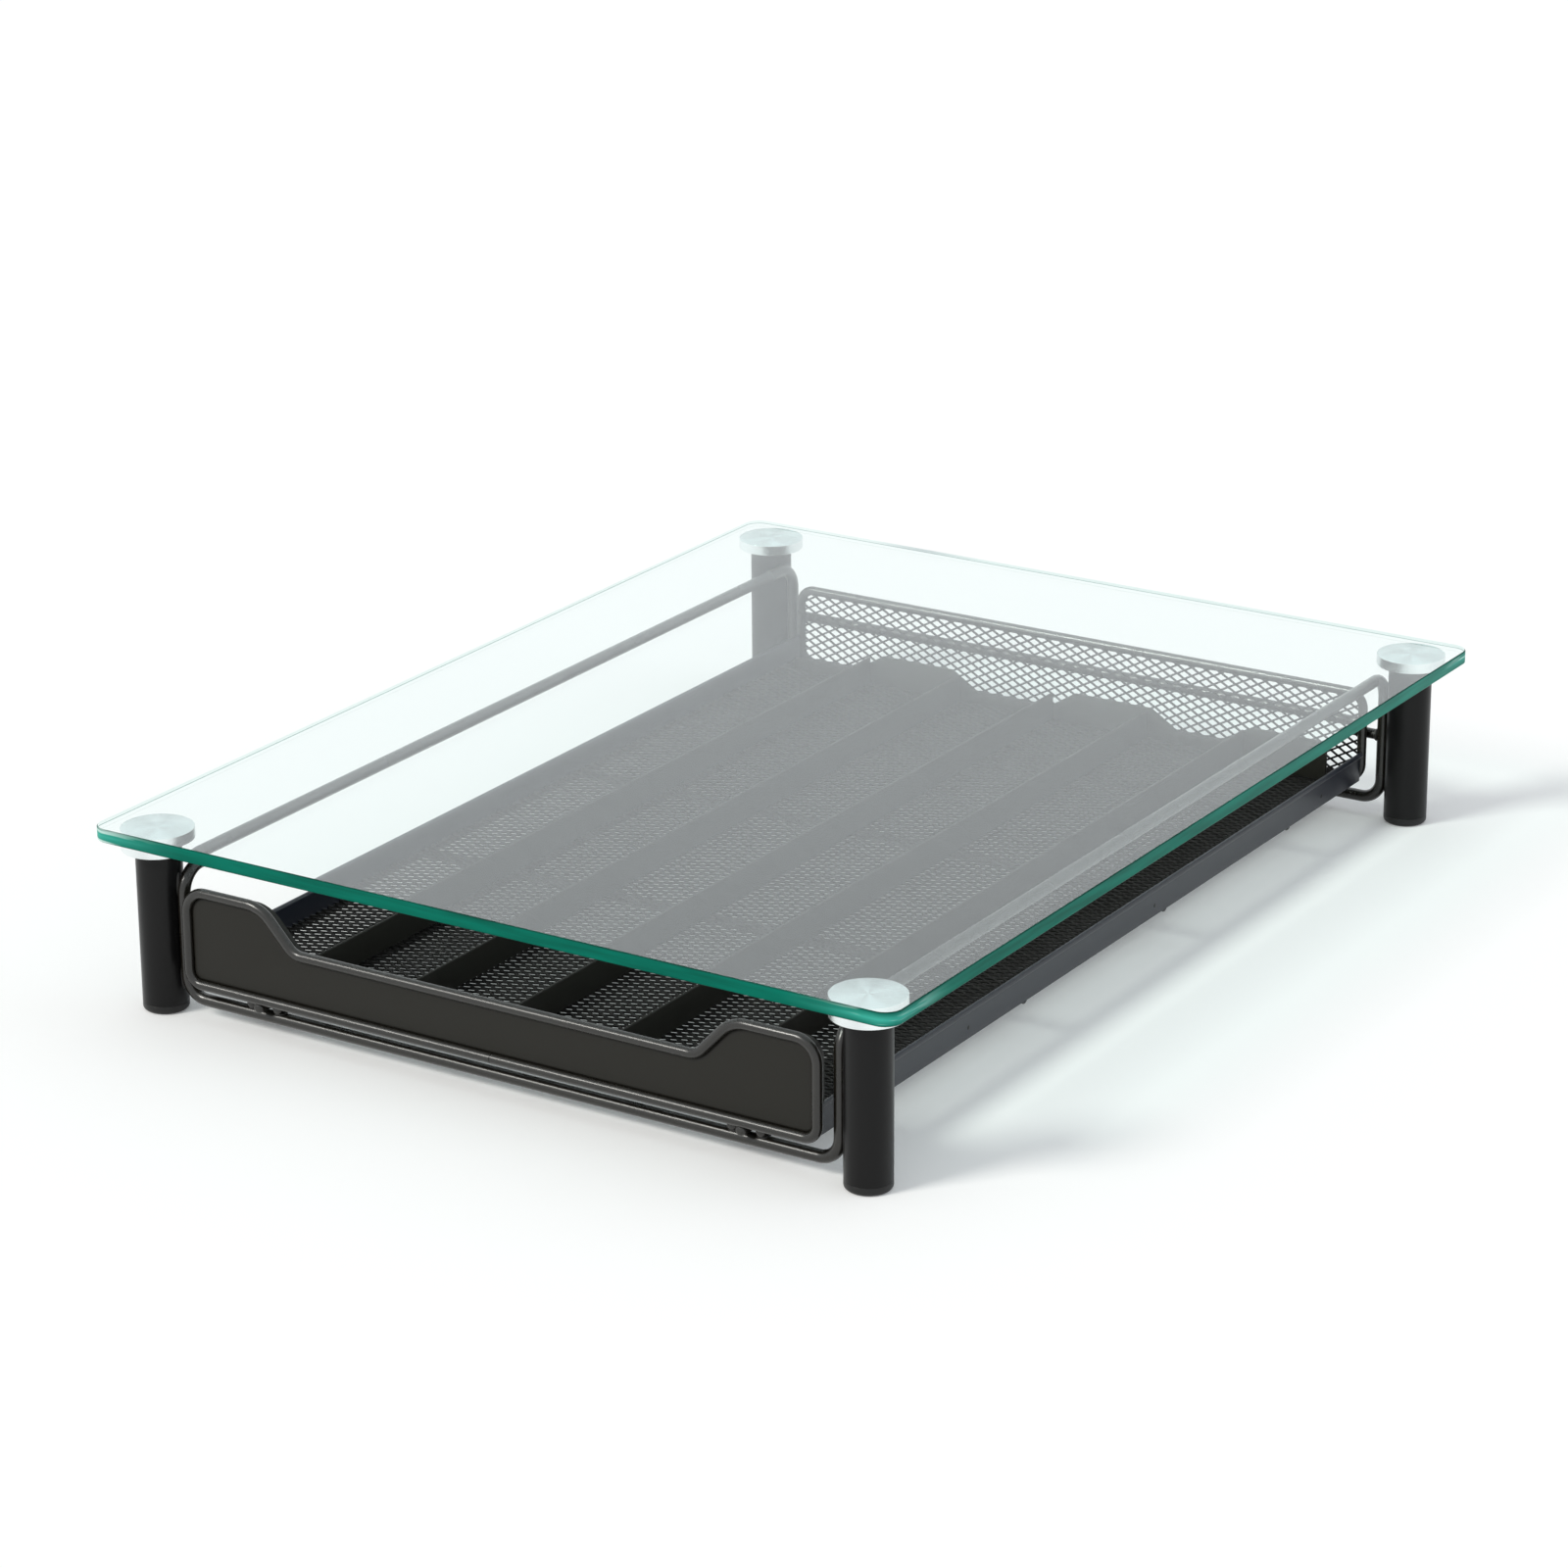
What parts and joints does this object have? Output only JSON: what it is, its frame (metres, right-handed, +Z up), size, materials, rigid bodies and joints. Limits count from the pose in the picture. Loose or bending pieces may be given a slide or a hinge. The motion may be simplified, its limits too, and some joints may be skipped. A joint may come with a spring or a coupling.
{
  "type": "coffee pod drawer",
  "caption": "Glass-topped wire stand with a sliding mesh drawer divided into lanes for coffee capsules; the drawer pulls forward on runner rods and stops before it leaves the stand.",
  "frame": {"origin": "on the floor under the middle of the glass", "axes": "+Z up, -Y is the front, which the drawer slides towards, +X to the right seen from the front"},
  "size_m": [0.32, 0.42, 0.068],
  "materials": {
    "float_glass": "clear tempered float glass with polished green edges",
    "turned_aluminium": "turned face, satin",
    "black_post": "satin black coating on round bar",
    "black_glide": "matt black moulded glide",
    "stud_steel": "plain threaded stud",
    "coated_wire": "satin brownish-black powder coat on steel wire",
    "coated_sheet": "satin graphite powder coat on sheet steel",
    "coated_mesh": "satin black powder coat on expanded steel mesh"
  },
  "bodies": {
    "stand": {"glass_top": "float_glass", "front_left_disc": "turned_aluminium", "front_right_disc": "turned_aluminium", "rear_left_disc": "turned_aluminium", "rear_right_disc": "turned_aluminium", "front_left_post": "black_post", "front_right_post": "black_post", "rear_left_post": "black_post", "rear_right_post": "black_post", "front_left_glide": "black_glide", "front_right_glide": "black_glide", "rear_left_glide": "black_glide", "rear_right_glide": "black_glide", "disc_studs": "stud_steel", "front_cross_wire": "coated_wire", "rear_cross_wire": "coated_wire", "left_top_rail": "coated_wire", "right_top_rail": "coated_wire", "rear_mid_bar": "coated_wire", "left_inner_runner": "coated_wire", "left_outer_runner": "coated_wire", "right_inner_runner": "coated_wire", "right_outer_runner": "coated_wire"},
    "drawer": {"front_rim": "coated_wire", "front_panel": "coated_sheet", "rear_rim": "coated_wire", "rear_mesh": "coated_mesh", "floor_mesh": "coated_mesh", "left_side_strip": "coated_sheet", "right_side_strip": "coated_sheet", "floor_wire_1": "coated_wire", "floor_wire_2": "coated_wire", "floor_wire_3": "coated_wire", "floor_wire_4": "coated_wire", "lane_divider_1": "coated_sheet", "lane_divider_2": "coated_sheet", "lane_divider_3": "coated_sheet", "lane_divider_4": "coated_sheet", "lane_divider_5": "coated_sheet", "rear_stop_plate": "coated_sheet", "left_stop_hook": "coated_sheet", "right_stop_hook": "coated_sheet", "left_guide_wire": "coated_wire", "right_guide_wire": "coated_wire"}
  },
  "joints": [
    {"name": "drawer_slide", "type": "slide", "parent": "stand", "child": "drawer", "axis": [0, -1, 0], "range_m": [0, 0.32]}
  ]
}
